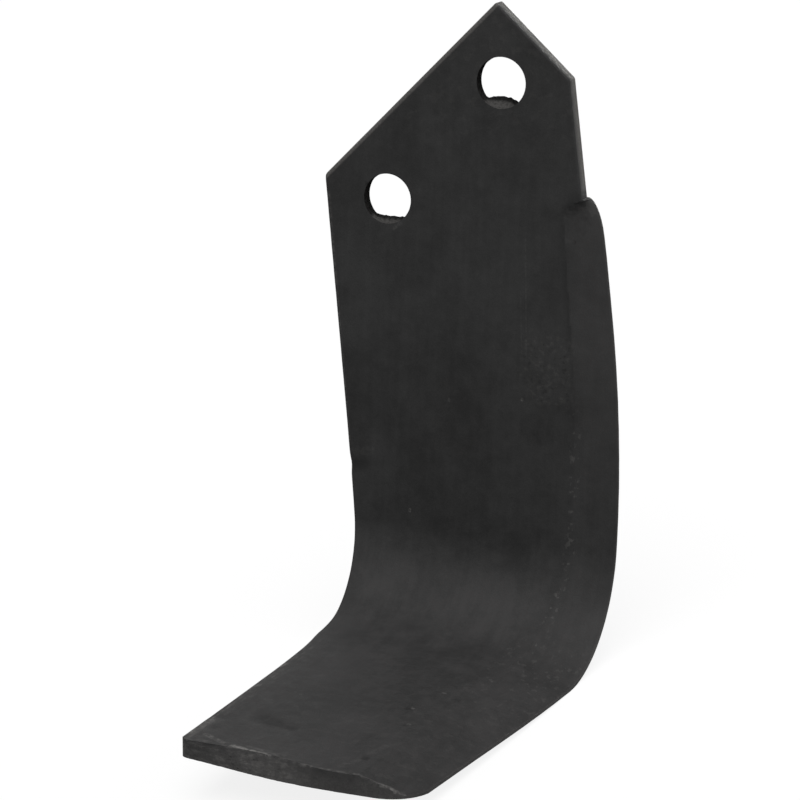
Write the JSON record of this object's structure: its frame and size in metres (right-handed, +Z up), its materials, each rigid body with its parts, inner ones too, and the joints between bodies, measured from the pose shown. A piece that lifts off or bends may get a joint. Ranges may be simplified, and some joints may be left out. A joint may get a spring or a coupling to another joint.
{
  "type": "rotary tiller blade",
  "caption": "L-shaped blade for a rotary tiller: pointed bolt-on shank with punched holes, a forged cutting edge and a foot bent square.",
  "frame": {"origin": "on the flat back face of the shank, midway between the bolt holes", "axes": "+X across the bar towards the cutting edge, +Y out of the back face along the bolts, +Z up the shank towards its pointed end; the foot reaches towards -Y"},
  "size_m": [0.091, 0.1349, 0.1972],
  "materials": {
    "black_spring_steel": "satin black over forged spring steel"
  },
  "bodies": {
    "root": {"tiller_blade": "black_spring_steel"}
  },
  "joints": []
}
